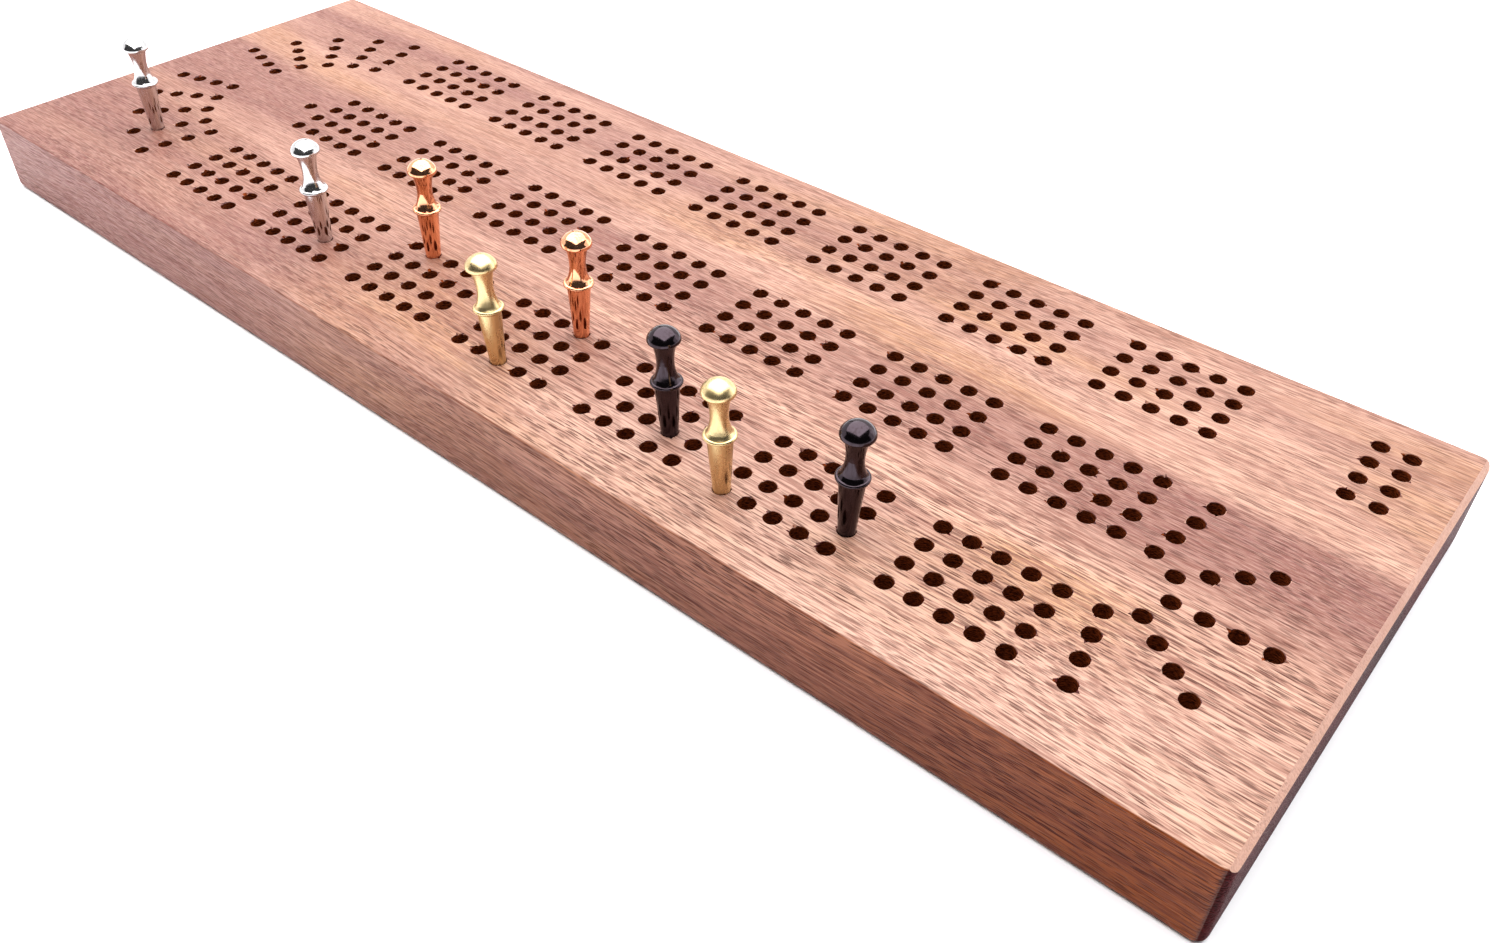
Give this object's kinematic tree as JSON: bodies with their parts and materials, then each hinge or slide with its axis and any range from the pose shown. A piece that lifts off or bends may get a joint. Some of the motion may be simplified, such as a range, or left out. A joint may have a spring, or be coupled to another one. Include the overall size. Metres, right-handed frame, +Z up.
{
  "type": "cribbage board",
  "caption": "Flat hardwood cribbage board drilled with a looping multi-lane track, with turned metal pegs standing in its holes.",
  "frame": {"origin": "middle of the board's flat underside", "axes": "+X along the board towards the end with the narrow turn and the starting holes, +Y across the board from the near lane to the far lane, +Z up out of the drilled face"},
  "size_m": [0.3726, 0.1234, 0.0473],
  "materials": {
    "sapele": "satin clear oil on open-pored mahogany-type hardwood",
    "silver_plate": "mirror polished silver-coloured plate",
    "copper_plate": "polished copper",
    "brass": "polished pale brass, slightly satin",
    "black_nickel": "glossy black nickel plate"
  },
  "bodies": {
    "board_body": {"board": "sapele"},
    "silver_back_peg": {"peg_silver_back": "silver_plate"},
    "silver_front_peg": {"peg_silver_front": "silver_plate"},
    "copper_back_peg": {"peg_copper_back": "copper_plate"},
    "copper_front_peg": {"peg_copper_front": "copper_plate"},
    "brass_back_peg": {"peg_brass_back": "brass"},
    "brass_front_peg": {"peg_brass_front": "brass"},
    "black_back_peg": {"peg_black_back": "black_nickel"},
    "black_front_peg": {"peg_black_front": "black_nickel"}
  },
  "joints": [
    {"name": "pull_silver_back", "type": "slide", "parent": "board_body", "child": "silver_back_peg", "axis": [0.0436, 0, 0.999], "range_m": [0, 0.012]},
    {"name": "pull_silver_front", "type": "slide", "parent": "board_body", "child": "silver_front_peg", "axis": [0, 0, 1], "range_m": [0, 0.012]},
    {"name": "pull_copper_back", "type": "slide", "parent": "board_body", "child": "copper_back_peg", "axis": [0.0401, 0, 0.9992], "range_m": [0, 0.012]},
    {"name": "pull_copper_front", "type": "slide", "parent": "board_body", "child": "copper_front_peg", "axis": [0.0297, 0, 0.9996], "range_m": [0, 0.012]},
    {"name": "pull_brass_back", "type": "slide", "parent": "board_body", "child": "brass_back_peg", "axis": [-0.0593, 0, 0.9982], "range_m": [0, 0.012]},
    {"name": "pull_brass_front", "type": "slide", "parent": "board_body", "child": "brass_front_peg", "axis": [-0.0314, 0, 0.9995], "range_m": [0, 0.012]},
    {"name": "pull_black_back", "type": "slide", "parent": "board_body", "child": "black_back_peg", "axis": [-0.0332, 0, 0.9995], "range_m": [0, 0.012]},
    {"name": "pull_black_front", "type": "slide", "parent": "board_body", "child": "black_front_peg", "axis": [0.0297, 0, 0.9996], "range_m": [0, 0.012]}
  ]
}
